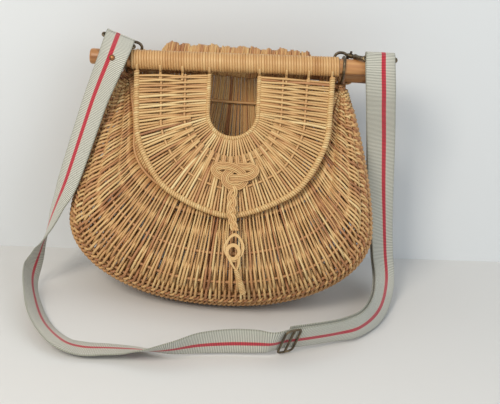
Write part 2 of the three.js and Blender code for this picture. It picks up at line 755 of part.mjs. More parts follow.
const rivet_frame = strapFrames(1, 2, route_steps, 0)[0];
const rivet_line = [new THREE.Vector3(0, 0, -rivet_half_height), new THREE.Vector3(0, 0, rivet_half_height)];
const rivet_flat = rod(rivet_line, rivet_radius, 12);
const strap_rivet = placed(rivet_flat, rivet_frame, strap_half + fitting_gap + rivet_half_height);

const pieces = [
  ["basket_shell", basket_shell, wicker],
  ["mouth_border", mouth_border, wicker],
  ["back_bar", back_bar, dowel],
  ["back_bar_hump", back_bar_hump, wicker],
  ["left_ring", left_ring, steel],
  ["right_ring", right_ring, steel],
  ["left_clip", left_clip, steel],
  ["right_clip", right_clip, steel],
  ["front_bar", front_bar, dowel],
  ["bar_wrap", bar_wrap, wicker],
  ["lid_panel", lid_panel, wicker],
  ["lid_rim", lid_rim, wicker],
  ["hole_rim", hole_rim, wicker],
  ["closure_knot", closure_knot, wicker],
  ["closure_plait", closure_plait, wicker],
  ["closure_loop", closure_loop, wicker],
  ["closure_peg", closure_peg, wicker],
  ["strap_long", strap_long, webbing],
  ["strap_return", strap_return, webbing],
  ["strap_slide", strap_slide, steel],
  ["strap_rivet", strap_rivet, steel],
];
const group = new THREE.Group();
for (const [name, solid, material] of pieces) {
  const read = solid.getMesh();
  const place = new Float32Array(read.numVert * 3);
  for (let i = 0; i < read.numVert; i++)
    place.set(read.vertProperties.subarray(i * read.numProp, i * read.numProp + 3), i * 3);
  const shape = new THREE.BufferGeometry();
  shape.setAttribute("position", new THREE.BufferAttribute(place, 3));
  shape.setIndex(new THREE.BufferAttribute(read.triVerts, 1));
  const mesh = new THREE.Mesh(shape, material);
  mesh.name = name;
  group.add(mesh);
}
export default group;
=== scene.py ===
# A half-moon wicker fishing creel bag on a pale floor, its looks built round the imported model.
import math

import bpy
import numpy as np
from mathutils import Matrix, Vector


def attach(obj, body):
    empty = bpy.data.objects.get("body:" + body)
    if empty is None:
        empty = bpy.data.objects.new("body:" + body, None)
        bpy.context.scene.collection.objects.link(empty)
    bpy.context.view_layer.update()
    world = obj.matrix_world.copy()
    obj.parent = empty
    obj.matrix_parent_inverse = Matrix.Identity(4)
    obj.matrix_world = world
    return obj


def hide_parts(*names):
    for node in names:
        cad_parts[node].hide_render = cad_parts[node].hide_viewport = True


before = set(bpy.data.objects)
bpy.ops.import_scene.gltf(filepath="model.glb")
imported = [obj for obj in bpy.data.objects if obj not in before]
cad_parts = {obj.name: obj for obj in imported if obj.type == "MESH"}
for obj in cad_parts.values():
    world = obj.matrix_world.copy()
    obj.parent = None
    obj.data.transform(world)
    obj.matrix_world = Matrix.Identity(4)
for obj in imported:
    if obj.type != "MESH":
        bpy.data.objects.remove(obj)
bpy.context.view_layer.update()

# Camera: at the photograph's angle and height, with a 73 mm lens.
# The picture is turned about four degrees, as the one taken by hand was.
camera_data = bpy.data.cameras.new("camera")
camera_data.lens = 73.0
camera_data.sensor_width = 36.0
camera = bpy.data.objects.new("camera", camera_data)
bpy.context.scene.collection.objects.link(camera)
bpy.context.scene.camera = camera
tilt, roll = math.radians(20), math.radians(4.15)
forward = np.array([0, math.cos(tilt), -math.sin(tilt)])
right = np.array([1.0, 0, 0])
up = np.cross(right, forward)
cam_x = right * math.cos(roll) + up * math.sin(roll)
cam_y = up * math.cos(roll) - right * math.sin(roll)
turn = Matrix([[cam_x[k], cam_y[k], -forward[k]] for k in range(3)]).to_4x4()
camera.matrix_world = Matrix.Translation((0.02701, -1.04242, 0.49286)) @ turn

# Strap: flat cotton webbing with one red stripe, from the left clip down to the floor, along in front
# of the bag to the slide and up to the right clip. It turns over twice on the way, and from the slide
# to the right clip a second layer lies behind it. Both ends are folded over the eyes of the clips.
strap_route = [
    ((-124.3, 38, 278.6), (0.92, 0.16, -0.28)),
    ((-129.6, 15.5, 258.7), (0.94, -0.26, -0.22)),
    ((-144.8, 15, 217.2), (0.84, -0.49, -0.23)),
    ((-155.9, 8, 179.3), (0.84, -0.53, -0.12)),
    ((-171, -6, 125.8), (0.76, -0.64, -0.1)),
    ((-180.1, -9, 101.9), (0.51, -0.85, -0.14)),
    ((-187.9, -9, 81.4), (0.34, -0.93, -0.13)),
    ((-195.1, -9, 61.9), (0.08, -1, 0.02)),
    ((-201.7, -11, 44.3), (-0.21, -0.95, 0.22)),
    ((-208.3, -24.5, 20), (-0.38, -0.42, 0.82)),
    ((-195.7, -71.9, 16.1), (-0.58, -0.21, 0.79)),
    ((-176, -120.9, 12.8), (-0.68, -0.45, 0.58)),
    ((-150.6, -151.1, 8), (-0.56, -0.78, 0.28)),
    ((-128.5, -157.7, 5), (-0.13, -0.99, 0.09)),
    ((-102.9, -157.5, 5.9), (-0.03, -0.99, 0.15)),
    ((-79.1, -158.8, 7.7), (-0.17, -0.95, 0.26)),
    ((-60.9, -163.7, 11.4), (-0.19, -0.85, 0.49)),
    ((-39.6, -162.9, 15.5), (0.03, -0.66, 0.75)),
    ((-14, -153.5, 18.1), (0.06, -0.4, 0.92)),
    ((17.2, -145.9, 18.9), (0.02, -0.27, 0.96)),
    ((43.9, -144.2, 19.7), (-0.03, -0.31, 0.95)),
    ((59.8, -144.7, 20.6), (0.09, -0.46, 0.88)),
    ((74.8, -135.6, 20.9), (0.19, -0.42, 0.89)),
    ((93, -128.6, 21.2), (0.22, -0.36, 0.91)),
    ((126.6, -108, 19.3), (0.24, -0.3, 0.92)),
    ((151.8, -88.4, 19.4), (0.1, -0.05, 0.99)),
    ((174.2, -40.6, 18.2), (-0.39, 0.07, 0.92)),
    ((185, 11, 26.1), (-0.75, -0.19, 0.63)),
    ((183, 36, 51.1), (-0.82, -0.53, 0.22)),
    ((178.9, 46, 86.4), (-0.84, -0.54, -0)),
    ((173.6, 50, 128.4), (-0.94, -0.32, -0.11)),
    ((167.5, 46, 181.8), (-0.99, -0.09, -0.14)),
    ((162, 33, 218), (-1, 0, 0)),
    ((159, 25, 239), (-1, 0, 0)),
    ((156, 22.5, 261), (-1, 0, 0.1)),
    ((155, 24.5, 270.8), (-0.99, 0, 0.12)),
    ((154.5, 28.5, 280), (-0.98, -0.05, 0.16)),
]
slide_station = 22  # the stop where the slide sits
WEFT_PITCH = 1.7  # from one crosswise rib of the webbing to the next
WAVE_REPEAT = math.tau / 20  # from one band of a wave texture to the next
MM = 0.001


def linear(hex_colour):
    """An sRGB hex colour as the linear RGBA that a socket takes."""
    parts = [int(hex_colour[i : i + 2], 16) / 255 for i in (1, 3, 5)]
    return [p / 12.92 if p <= 0.04045 else ((p + 0.055) / 1.055) ** 2.4 for p in parts] + [1]


def unit(v):
    return v / np.maximum(np.linalg.norm(v, axis=-1, keepdims=True), 1e-9)


def catmull(a, b, c, d, t):
    """The point at share t between b and c of a smooth line through a, b, c and d."""
    square, cube = (2 * a - 5 * b + 4 * c - d) * t**2, (3 * b - a - 3 * c + d) * t**3
    return 0.5 * (2 * b + (c - a) * t + square + cube)


def new_material(name):
    mat = bpy.data.materials.new(name)
    mat.use_nodes = True
    return mat, mat.node_tree.nodes, mat.node_tree.links


def add(nodes, kind, **values):
    node = nodes.new(kind)
    for key, value in values.items():
        if key in node.inputs:
            node.inputs[key].default_value = value
        else:
            setattr(node, key, value)
    return node


def ramp(nodes, stops):
    node = nodes.new("ShaderNodeValToRGB")
    while len(node.color_ramp.elements) < len(stops):
        node.color_ramp.elements.new(0.5)
    for element, (at, colour) in zip(node.color_ramp.elements, stops):
        element.position, element.color = at, linear(colour)
    return node


def webbing_material():
    """Grey-green cotton webbing: crosswise ribs with painted shade in the grooves between them, a red stripe
    off centre with a pale thread by it, and painted shade along both edges.
    """
    mat, nodes, links = new_material("striped_webbing")
    shader = nodes["Principled BSDF"]
    lay = add(nodes, "ShaderNodeUVMap", uv_map="lay")
    split = nodes.new("ShaderNodeSeparateXYZ")
    links.new(lay.outputs["UV"], split.inputs[0])
    stripe = [(0.32, "#E2DECC"), (0.335, "#D23A4C"), (0.465, "#D4283E"), (0.48, "#E0D4C0")]
    # The darker grey at both edges is painted shade on the strap's rounded edges.
    left_edge_shade = [(0, "#A8AA9A"), (0.05, "#D2D3C6"), (0.3, "#DADACD")]
    right_edge_shade = [(0.53, "#D6D7CA"), (0.94, "#D4D5C8"), (1, "#A6A898")]
    band = ramp(nodes, left_edge_shade + stripe + right_edge_shade)
    links.new(split.outputs["Y"], band.inputs["Fac"])
    ribs = add(nodes, "ShaderNodeTexWave", Scale=1.0, wave_type="BANDS", bands_direction="X")
    scale = add(nodes, "ShaderNodeVectorMath", operation="MULTIPLY")
    scale.inputs[1].default_value = (WAVE_REPEAT / WEFT_PITCH, 0.0, 0.0)
    links.new(lay.outputs["UV"], scale.inputs[0])
    links.new(scale.outputs[0], ribs.inputs["Vector"])
    # The rib bands multiply the colour darker in the grooves between the ribs: painted shade.
    shade = add(nodes, "ShaderNodeMix", data_type="RGBA", blend_type="MULTIPLY")
    shade.inputs["Factor"].default_value = 0.62
    links.new(band.outputs["Color"], shade.inputs[6])
    links.new(ribs.outputs["Color"], shade.inputs[7])
    links.new(shade.outputs[2], shader.inputs["Base Color"])
    bump = add(nodes, "ShaderNodeBump", Strength=0.9, Distance=0.0005)
    links.new(ribs.outputs["Fac"], bump.inputs["Height"])
    links.new(bump.outputs["Normal"], shader.inputs["Normal"])
    shader.inputs["Roughness"].default_value = 0.85
    shader.inputs["Sheen Weight"].default_value = 0.25
    return mat


webbing = webbing_material()


def strap_frames(start, end, steps, shift):
    """Centre line, width way and face way of a run of the strap."""
    at = np.array([s[0] for s in strap_route], float)
    across = np.array([s[1] for s in strap_route], float)
    stations = [(i, k / steps) for i in range(start, end) for k in range(steps)] + [(end, 0.0)]

    def blend(table, i, t):
        pick = [table[min(max(n, 0), len(table) - 1)] for n in (i - 1, i, i + 1, i + 2)]
        return catmull(*pick, t)

    line = np.array([blend(at, i, t) for i, t in stations])
    wide = np.array([blend(across, i, t) for i, t in stations])
    along = unit(np.gradient(line, axis=0))
    wide = unit(wide - along * np.sum(wide * along, -1, keepdims=True))
    face = np.cross(along, wide)
    return line + face * shift, wide, face


def make_object(name, verts, faces, material, body, node=None, points=None, uv=None):
    """A mesh object from arrays in mm, riding on a body and standing for a CAD node."""
    mesh = bpy.data.meshes.new(name)
    mesh.from_pydata((np.asarray(verts) * MM).tolist(), [], [list(f) for f in faces])
    for key, values in (points or {}).items():
        mesh.attributes.new(key, "FLOAT", "POINT").data.foreach_set("value", np.asarray(values, np.float32))
    if uv is not None:
        layer = mesh.uv_layers.new(name="lay")
        corners = np.empty(len(mesh.loops), np.int32)
        mesh.loops.foreach_get("vertex_index", corners)
        layer.data.foreach_set("uv", np.asarray(uv, np.float32)[corners].ravel())
    mesh.polygons.foreach_set("use_smooth", [True] * len(mesh.polygons))
    mesh.materials.append(material)
    mesh.update()
    obj = bpy.data.objects.new(name, mesh)
    bpy.context.scene.collection.objects.link(obj)
    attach(obj, body)
    if node:
        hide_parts(node)
    return obj


def ribbon(name, line, wide, face, half_width, half_thick, material, body, node):
    """A flat strap with rounded woven edges: a ring of sixteen points at each step."""
    quarter = [(1, 0), (0.985, 0.75), (0.93, 1), (0.5, 1)]
    upper = quarter + [(0, 1)] + [(-x, y) for x, y in quarter[::-1]]
    section = upper + [(x, -y) for x, y in upper[-2:0:-1]]
    n, m = len(line), len(section)
    a = np.array(section)
    spread, rise = a[None, :, :1] * half_width, a[None, :, 1:] * half_thick
    verts = line[:, None] + wide[:, None] * spread + face[:, None] * rise
    run = np.r_[0, np.cumsum(np.linalg.norm(np.diff(line, axis=0), axis=1))]
    uv = np.stack([np.repeat(run, m), np.tile(0.5 + a[:, 0] / 2, n)], -1)
    faces = []
    for i in range(0, (n - 1) * m, m):
        faces += [[i + j, i + (j + 1) % m, i + m + (j + 1) % m, i + m + j] for j in range(m)]
    faces += [list(range(m))[::-1], list(range((n - 1) * m, n * m))]
    return make_object(name, verts.reshape(-1, 3), faces, material, body, node, uv=uv), run[-1]


last = len(strap_route) - 1
STRAP_WIDE, STRAP_HALF, LAYER = 32, 0.75, -3.0
ends = {}
for node, start, end, shift in (
    ("strap_long", 0, last, 0.0),
    ("strap_return", slide_station, last - 1, LAYER),
):
    line, wide, face = strap_frames(start, end, 8, shift)
    size = (STRAP_WIDE / 2, STRAP_HALF)
    strap, length = ribbon(node + "_web", line, wide, face, *size, webbing, "basket", node)
    ends[node] = (line, wide, face)


def fold(name, line, wide, face, way, down, back):
    """The strap turned over a clip's eye: a half round behind its end, then a short run down behind."""
    depth = 2.9
    angle = np.linspace(0, np.pi, 9)
    turned = np.stack([depth * (1 - np.cos(angle)), depth * np.sin(angle)], -1)
    tail = np.stack([np.full(6, 2 * depth) - np.linspace(0, back, 6), -np.linspace(1, down, 6)], -1)
    run = np.vstack([turned, tail])
    place = line + run[:, :1] * -face + run[:, 1:] * way
    along = unit(np.gradient(place, axis=0))
    out = np.cross(along, np.broadcast_to(wide, place.shape))
    across = np.broadcast_to(wide, place.shape)
    piece, _ = ribbon(name, place, across, out, 15.8, STRAP_HALF, webbing, "basket", None)


line, wide, face = ends["strap_long"]
fold("strap_fold_left", line[0], wide[0], face[0], unit(line[0] - line[1]), 14, 2.6)
fold("strap_fold_right", line[-1], wide[-1], face[-1], unit(line[-1] - line[-2]), 14, 2.6)

# Basket walls: ribs of thick cane, each a U from bar end to bar end, laid out as a net that is
# read by rib number and share of the rib's length.
# Thinner weavers cross the ribs over and under. Every second one stops short of the mouth and the back bar.
RIBS = [
    (66.5, 238, 117, 0, 2.2, 67, 117),
    (70, 206, 120, 0.1, 2.1, 66, 118),
    (72, 160, 129, 0.45, 2.1, 64, 119),
    (72, 114, 142, 0.55, 2.1, 62, 120),
    (71, 70, 152, 0.6, 2.1, 60, 121),
    (66, 29, 158, 0.63, 2.05, 58, 122),
    (52, 8, 160, 0.64, 2, 56, 122),
    (30, 2.2, 161, 0.64, 2, 54, 122),
    (-18, 2.2, 162, 0.64, 2, 50, 122),
    (-41, 11, 161, 0.65, 2.05, 48, 121),
    (-60, 27, 153, 0.64, 2.1, 46, 120),
    (-67, 46, 143, 0.6, 2.1, 45, 119),
    (-59, 75, 124, 0.6, 2, 44.5, 118),
    (-26.5, 104.5, 108, 0.55, 2.1, 44, 117),
    (-21, 116, 102, 0.5, 2.1, 44, 116),
]
MOUTH = (-18.1, 120.2, 98.5, 0.5, 2.1, 38.8, 112.3)
RIB_TOP = 233
BODY_LEAN = 0.02
rng = np.random.default_rng(7)


def spaced(line, count):
    """The same line as count + 1 points at equal distances."""
    run = np.r_[0, np.cumsum(np.linalg.norm(np.diff(line, axis=0), axis=1))]
    want = np.linspace(0, run[-1], count + 1)
    return np.stack([np.interp(want, run, line[:, k]) for k in range(line.shape[1])], -1)


def rib_line(rib, count):
    """One rib from its left end to its right end at equal distances."""
    y, z, width, turn_at, power, end_y, end_x = rib
    fall = np.linspace(0, turn_at, 14, endpoint=False) if turn_at > 0 else np.zeros(0)
    side_x = end_x + (width - end_x) * (1 - (1 - fall / max(turn_at, 1e-6)) ** 1.5)
    angle = np.linspace(0, np.pi / 2, 41)
    low = turn_at + (1 - turn_at) * np.sin(angle) ** (2 / power)
    x = np.r_[side_x, width * np.cos(angle) ** (2 / power)]
    g = np.r_[fall, low]
    half = np.stack([x, end_y + (y - end_y) * g, RIB_TOP + (z - RIB_TOP) * g], -1)
    left = half[:-1] * (-1, 1, 1)
    whole = np.vstack([left, half[::-1]])
    whole[:, 0] += BODY_LEAN * (whole[:, 2] - RIB_TOP)
    return spaced(whole, count)


NET_T, NET_S, COUNT = 320, 6, 264
table = np.array(RIBS, float)
rows = []
for i in range(len(table) - 1):
    for k in range(NET_S):
        pick = [table[min(max(n, 0), len(table) - 1)] for n in (i - 1, i, i + 1, i + 2)]
        row = catmull(*pick, k / NET_S)
        row[3] = max(0, row[3])
        rows.append(rib_line(row, NET_T))
rows.append(rib_line(table[-1], NET_T))
net = np.array(rows)
FLOOR_LIFT, FLOOR_REACH = 1.6, 9  # keeps the weave of the base from sinking into the floor
net[..., 2] += FLOOR_LIFT * np.exp(-(net[..., 2] / FLOOR_REACH) ** 2)
net_s, net_t = np.gradient(net, axis=0), np.gradient(net, axis=1)
net_n = unit(np.cross(net_s, net_t))
if net_n[len(net) // 2, NET_T // 2, 2] > 0:  # outward is down in the middle of the base
    net_n = -net_n


def on_net(s, t):
    """Point and outward way of the basket wall at rib number s, share t."""
    i = np.clip(np.asarray(s, float) * NET_S, 0, len(net) - 1.001)
    j = np.clip(np.asarray(t, float) * NET_T, 0, NET_T - 0.001)
    i0, j0 = i.astype(int), j.astype(int)
    u, v = (i - i0)[..., None], (j - j0)[..., None]

    def mix(g):
        here, beside = (g[i0, j] * (1 - u) + g[i0 + 1, j] * u for j in (j0, j0 + 1))
        return here * (1 - v) + beside * v

    return mix(net), unit(mix(net_n))


def strand_room(s, t):
    """How far apart the weavers lie at rib number s, share t: twice as far near the mouth and the back."""
    i = np.clip(np.asarray(s, float) * NET_S, 0, len(net) - 1).astype(int)
    step = np.linalg.norm(net_t[i, int(t * NET_T)], axis=-1) * NET_T / COUNT
    return step * np.where((s < 1.9) | (s > 12.9), 2, 1)


def cane_material(name, stops, spread=0.32, rough=0.5):
    """Split cane: a tone for each strand from its tint, cloudy along its length, with fine fibres."""
    mat, nodes, links = new_material(name)
    mat["slot"] = "wicker"
    shader = nodes["Principled BSDF"]
    tint = add(nodes, "ShaderNodeAttribute", attribute_name="tint")
    where = nodes.new("ShaderNodeTexCoord")
    cloud = add(nodes, "ShaderNodeTexNoise", Scale=60.0, Detail=3.0)
    fibre = add(nodes, "ShaderNodeTexNoise", Scale=900.0, Detail=2.0)
    links.new(where.outputs["Object"], cloud.inputs["Vector"])
    links.new(where.outputs["Object"], fibre.inputs["Vector"])
    shift = add(nodes, "ShaderNodeMath", operation="MULTIPLY_ADD")
    shift.inputs[1].default_value, shift.inputs[2].default_value = spread, -spread / 2
    links.new(cloud.outputs["Fac"], shift.inputs[0])
    total = add(nodes, "ShaderNodeMath", operation="ADD", use_clamp=True)
    links.new(tint.outputs["Fac"], total.inputs[0])
    links.new(shift.outputs[0], total.inputs[1])
    tone = ramp(nodes, stops)
    links.new(total.outputs[0], tone.inputs["Fac"])
    links.new(tone.outputs["Color"], shader.inputs["Base Color"])
    shader.inputs["Roughness"].default_value = rough
    bump = add(nodes, "ShaderNodeBump", Strength=0.25, Distance=0.0004)
    links.new(fibre.outputs["Fac"], bump.inputs["Height"])
    links.new(bump.outputs["Normal"], shader.inputs["Normal"])
    return mat


cane = cane_material(
    "split_cane", [(0, "#784C30"), (0.28, "#AC7A50"), (0.5, "#C39A66"), (0.75, "#CFAE78"), (1, "#DCC592")]
)


def tube_arrays(line, up, wide, thick, sides, closed=False):
    """Vertices and faces of one strand: an oval section swept along a line, up along its thin way."""
    line = np.asarray(line, float)
    if closed:
        along = unit(np.roll(line, -1, 0) - np.roll(line, 1, 0))
    else:
        along = unit(np.gradient(line, axis=0))
    up = np.broadcast_to(np.asarray(up, float), line.shape)
    up = unit(up - along * np.sum(up * along, -1, keepdims=True))
    side = np.cross(along, up)
    angle = 2 * np.pi * np.arange(sides) / sides
    wide = np.broadcast_to(wide, len(line))[:, None, None]
    thick = np.broadcast_to(thick, len(line))[:, None, None]
    ring = (
        line[:, None]
        + side[:, None] * np.cos(angle)[None, :, None] * wide
        + up[:, None] * np.sin(angle)[None, :, None] * thick
    )
    verts = ring.reshape(-1, 3)
    n = len(line)
    rows = n if closed else n - 1
    i = np.arange(rows)[:, None] * sides
    j = np.arange(sides)[None]
    nxt = (np.arange(rows)[:, None] + 1) % n * sides
    a, b = i + j, i + (j + 1) % sides
    c, d = nxt + (j + 1) % sides, nxt + j
    faces = np.stack([a, b, c, d], -1).reshape(-1, 4).tolist()
    if not closed:
        faces.append(list(range(sides))[::-1])
        faces.append(list(range((n - 1) * sides, n * sides)))
    return verts, faces


def strands(name, parts, material, body, node=None):
    """Many strands joined in one mesh. Each part is (line, up, wide, thick, sides, tint, closed)."""
    verts, faces, tints, base = [], [], [], 0
    for line, up, wide, thick, sides, tint, *closed in parts:
        v, f = tube_arrays(line, up, wide, thick, sides, bool(closed and closed[0]))
        verts.append(v)
        faces += [[k + base for k in face] for face in f]
        tints.append(np.full(len(v), tint))
        base += len(v)
    tint_of_points = {"tint": np.concatenate(tints)}
    return make_object(name, np.vstack(verts), faces, material, body, node, points=tint_of_points)


RIB_R, STRAND_R = 1.6, 1.3
rib_parts = []
for k in range(len(RIBS)):
    t = np.linspace(0.004, 0.996, 150)
    p, n = on_net(np.full_like(t, k), t)
    rib_parts.append((p, n, RIB_R, RIB_R, 7, 0.3 + 0.2 * rng.random()))
strands("basket_ribs", rib_parts, cane, "basket", "basket_shell")
weave = {"left": [], "right": []}
for w in range(COUNT):
    t0 = (w + 0.5) / COUNT
    start, end = (0.0, 14.0) if w % 2 else (1.9, 12.9)
    s = np.linspace(start, end, int((end - start) * 8))
    drift = 0.0011 * np.sin(s * rng.uniform(0.4, 1.1) + rng.uniform(0, 6.3)) + 0.0006 * rng.standard_normal()
    p, n = on_net(s, t0 + drift)
    lift = (RIB_R + STRAND_R) * np.cos(np.pi * (s + w))
    lift = lift * (0.92 + 0.16 * rng.random())
    line = p + n * lift[:, None]
    size = rng.uniform(0.94, 1.16) * np.clip(0.5 * strand_room(s, t0), 0.75, 1.04 * STRAND_R)
    tone = np.clip(rng.normal(0.55, 0.17), 0, 1)
    weave["left" if t0 < 0.5 else "right"].append((line, n, size * 1.08, size * 0.92, 5, tone))
for side, parts in weave.items():
    strands("basket_weave_" + side, parts, cane, "basket")

# Rib ends of the basket: each cane runs on up past the wall and hooks over the back dowel.
# They are bare split cane, held only by the neck weave below.
BACK_BAR = np.array([0, 57.0, 250.0])


def smooth_line(points, steps):
    """A smooth line through given points, steps to a stretch."""
    p = np.asarray(points, float)
    q = np.vstack([p[:1], p, p[-1:]])
    places = [(i, k / steps) for i in range(len(p) - 1) for k in range(steps)]
    return np.vstack([catmull(*q[i : i + 4], t) for i, t in places] + [p[-1]])


hook_parts = []
for side in (-1, 1):
    for k, (*_, end_y, end_x) in enumerate(RIBS[1:]):
        reach = 10.6 if k % 2 else 9.9
        angle = np.linspace(-0.45 * np.pi, 0.62 * np.pi, 12)
        if end_y <= BACK_BAR[1]:
            angle = np.pi - angle
        over = BACK_BAR + np.stack([0 * angle, reach * np.cos(angle), reach * np.sin(angle)], -1)
        over[:, 0] = side * (end_x + 1.5 - 2.4 * k + 8)
        foot = np.array([[side * end_x, end_y, 226.0], [side * end_x, end_y, 236.0]])
        line = smooth_line(np.vstack([foot, over]), 3)
        from_bar = (line - BACK_BAR) * (0, 1, 1)
        hook_parts.append((line, from_bar, 1.5, 1.1, 6, rng.normal(0.4, 0.12)))
strands("rib_hooks", hook_parts, cane, "basket")

# Neck weave: three rows of cane round the rib ends at either side,
# between the top of the wall and the dowel.
neck_parts = []
for side in (-1, 1):
    for row, z in enumerate((233.5, 236.4, 239.2)):
        y = np.linspace(66, 42, 60)
        x = side * (np.interp(y, (44, 67), (116, 118)) + 1.6 * np.cos(np.pi * (y - 44) / 2 + row * np.pi))
        line = np.stack([x, y, np.full_like(y, z)], -1)
        neck_parts.append((line, (side, 0, 0), 1.3, 1.1, 5, rng.normal(0.45, 0.15)))
strands("neck_weave", neck_parts, cane, "basket")

# Twined rows: pairs of cane that turn round each other along the ribs,
# a thick rope of them round the front edge of the base.
TWINE_REPEAT = 10.4
twine_parts = []
for s_at in (8.55, 9.2, 9.75):
    t = np.linspace(0.03, 0.97, 620)
    line, out = on_net(np.full_like(t, s_at), t)
    down = unit(np.cross(np.gradient(line, axis=0), out))
    run = np.r_[0, np.cumsum(np.linalg.norm(np.diff(line, axis=0), axis=1))]
    for half in (0, np.pi):
        phase = run * 2 * np.pi / TWINE_REPEAT + half + s_at * 2
        place = line + out * (2.2 + 1.9 * np.sin(phase))[:, None] + down * (1.7 * np.cos(phase))[:, None]
        twine_parts.append((place, out, 1.55, 1.35, 5, rng.normal(0.42, 0.1)))
strands("twined_rows", twine_parts, cane, "basket")

# Mouth border: a bundle of cane along the mouth's edge,
# wrapped round with a narrow split cane in close turns.


def coil_turns(line, up, core, pitch, wide, thick, points, sides, tint, spread):
    """A wrapping of cane as separate turns round a line, each turn with its own tone."""
    run = np.r_[0, np.cumsum(np.linalg.norm(np.diff(line, axis=0), axis=1))]
    count = int(run[-1] / pitch)
    along = unit(np.gradient(line, axis=0))
    up = unit(up - along * np.sum(up * along, -1, keepdims=True))
    side = np.cross(along, up)
    parts = []
    for k in range(count):
        angle = np.linspace(-np.pi, np.pi, points)
        at = (k + 0.5) * run[-1] / count + pitch * angle / (2 * np.pi)
        mix = [np.stack([np.interp(at, run, g[:, c]) for c in range(3)], -1) for g in (line, up, side)]
        radial = mix[1] * np.cos(angle)[:, None] + mix[2] * np.sin(angle)[:, None]
        radius = np.interp(at, run, np.broadcast_to(core, len(line))) + thick
        tone = float(np.clip(rng.normal(tint, spread), 0, 1))
        parts.append((mix[0] + radial * radius[:, None], radial, wide, thick, sides, tone))
    return parts


mouth_line = rib_line(MOUTH, 200)
border_parts = [(mouth_line, (0, -1, 1), 2.2, 2.2, 8, 0.3)]
outward = np.broadcast_to((0.0, -0.6, 0.8), mouth_line.shape)
border_parts += coil_turns(mouth_line, outward, 1.9, 2.7, 1.35, 0.6, 10, 5, 0.5, 0.12)
strands("wrapped_border", border_parts, cane, "basket", "mouth_border")

# Hump: the back's weavers turned over the back dowel in a dense, bumpy roll.
# It is higher at the right, and its ends fall off to the bare dowel.
HUMP_Y, HUMP_Z, HUMP_R, HUMP_PITCH = 60, 252, 12.6, 1.75
core_x = np.linspace(-80, 80, 60)
core = np.stack([core_x, 0 * core_x + HUMP_Y, 0 * core_x + HUMP_Z - 1], -1)
hump_parts = [(core, (0, 0, 1), 12, 12, 16, 0.15)]
for x in np.arange(-81, 81.5, HUMP_PITCH):
    angle = np.linspace(-0.35 * np.pi, 1.25 * np.pi, 22)
    fall = min(1, (84 - abs(x)) / 7)
    bump = 0.7 * math.sin(2 * math.pi * x / 15) + 0.6 * math.sin(2 * math.pi * x / 41) + rng.normal(0, 0.28)
    radius = HUMP_R * math.sqrt(fall) + 1.4 + bump + 0.4 * np.sin(3 * angle + x)
    lean = 1.2 * np.sin(angle + rng.uniform(-0.6, 0.6))
    rise = 1 + (0.3 + 0.06 * x / 80) * np.clip(np.sin(angle), 0, 1)
    y, z = HUMP_Y - radius * np.cos(angle), HUMP_Z + radius * rise * np.sin(angle)
    line = np.stack([x + lean, y, z], -1)
    from_core = line - (x, HUMP_Y, HUMP_Z)
    hump_parts.append((line, from_core, 1.15, 1.1, 5, np.clip(rng.normal(0.45, 0.15), 0, 1)))
strands("hump_weave", hump_parts, cane, "basket", "back_bar_hump")

# Dowels: two turned bars with eased ends, of varnished wood with darker scuffs.
# The back one carries the basket and the front one is the lid's own, a little skewed.
FRONT_BAR = np.array([0, 37.0, 258.0])
LID_SKEW = math.radians(2.08)
BAR_R = 8.6


def wood_material():
    """Varnished dowel: grain drawn out along the bar, darker scuffs."""
    mat, nodes, links = new_material("varnished_dowel")
    mat["slot"] = "dowel"
    shader = nodes["Principled BSDF"]
    where = nodes.new("ShaderNodeTexCoord")
    stretch = add(nodes, "ShaderNodeMapping", Scale=(6.0, 160.0, 160.0))
    grain = add(nodes, "ShaderNodeTexNoise", Scale=1.0, Detail=4.0)
    scuff = add(nodes, "ShaderNodeTexNoise", Scale=38.0, Detail=3.0)
    links.new(where.outputs["Object"], stretch.inputs["Vector"])
    links.new(stretch.outputs["Vector"], grain.inputs["Vector"])
    links.new(where.outputs["Object"], scuff.inputs["Vector"])
    tone = ramp(nodes, [(0.3, "#8A5A32"), (0.5, "#B27F4E"), (0.7, "#C89A66")])
    marks = ramp(nodes, [(0.3, "#6B4A30"), (0.42, "#FFFFFF")])
    shade = add(nodes, "ShaderNodeMix", data_type="RGBA", blend_type="MULTIPLY")
    shade.inputs["Factor"].default_value = 0.7
    links.new(grain.outputs["Fac"], tone.inputs["Fac"])
    links.new(scuff.outputs["Fac"], marks.inputs["Fac"])
    links.new(tone.outputs["Color"], shade.inputs[6])
    links.new(marks.outputs["Color"], shade.inputs[7])
    links.new(shade.outputs[2], shader.inputs["Base Color"])
    shader.inputs["Roughness"].default_value = 0.42
    bump = add(nodes, "ShaderNodeBump", Strength=0.2, Distance=0.0003)
    links.new(grain.outputs["Fac"], bump.inputs["Height"])
    links.new(bump.outputs["Normal"], shader.inputs["Normal"])
    return mat


wood = wood_material()


def skewed(p):
    d = np.asarray(p, float) - FRONT_BAR
    c, s = math.cos(LID_SKEW), math.sin(LID_SKEW)
    return FRONT_BAR + np.stack([d[..., 0] * c - d[..., 2] * s, d[..., 1], d[..., 0] * s + d[..., 2] * c], -1)


def dowel(name, half_length, centre, radius, turned, body):
    ease = np.array([0, 0.25, 0.7, 1.5, 2.6])
    size = radius * np.array([0.66, 0.8, 0.9, 0.97, 1])
    straight = np.linspace(-half_length + 12, half_length - 12, 24)
    x = np.r_[-half_length + ease, straight, half_length - ease[::-1]]
    r = np.r_[size, np.full(24, radius), size[::-1]]
    line = centre + x[:, None] * (1, 0, 0)
    line = skewed(line) if turned else line
    verts, faces = tube_arrays(line, (0, 0, 1), r, r, 44)
    make_object(name, verts, faces, wood, body, name)


for bar_name, half, centre, turned, body in (
    ("back_bar", 160, BACK_BAR, False, "basket"),
    ("front_bar", 147, FRONT_BAR, True, "lid"),
):
    dowel(bar_name, half, centre, BAR_R, turned, body)

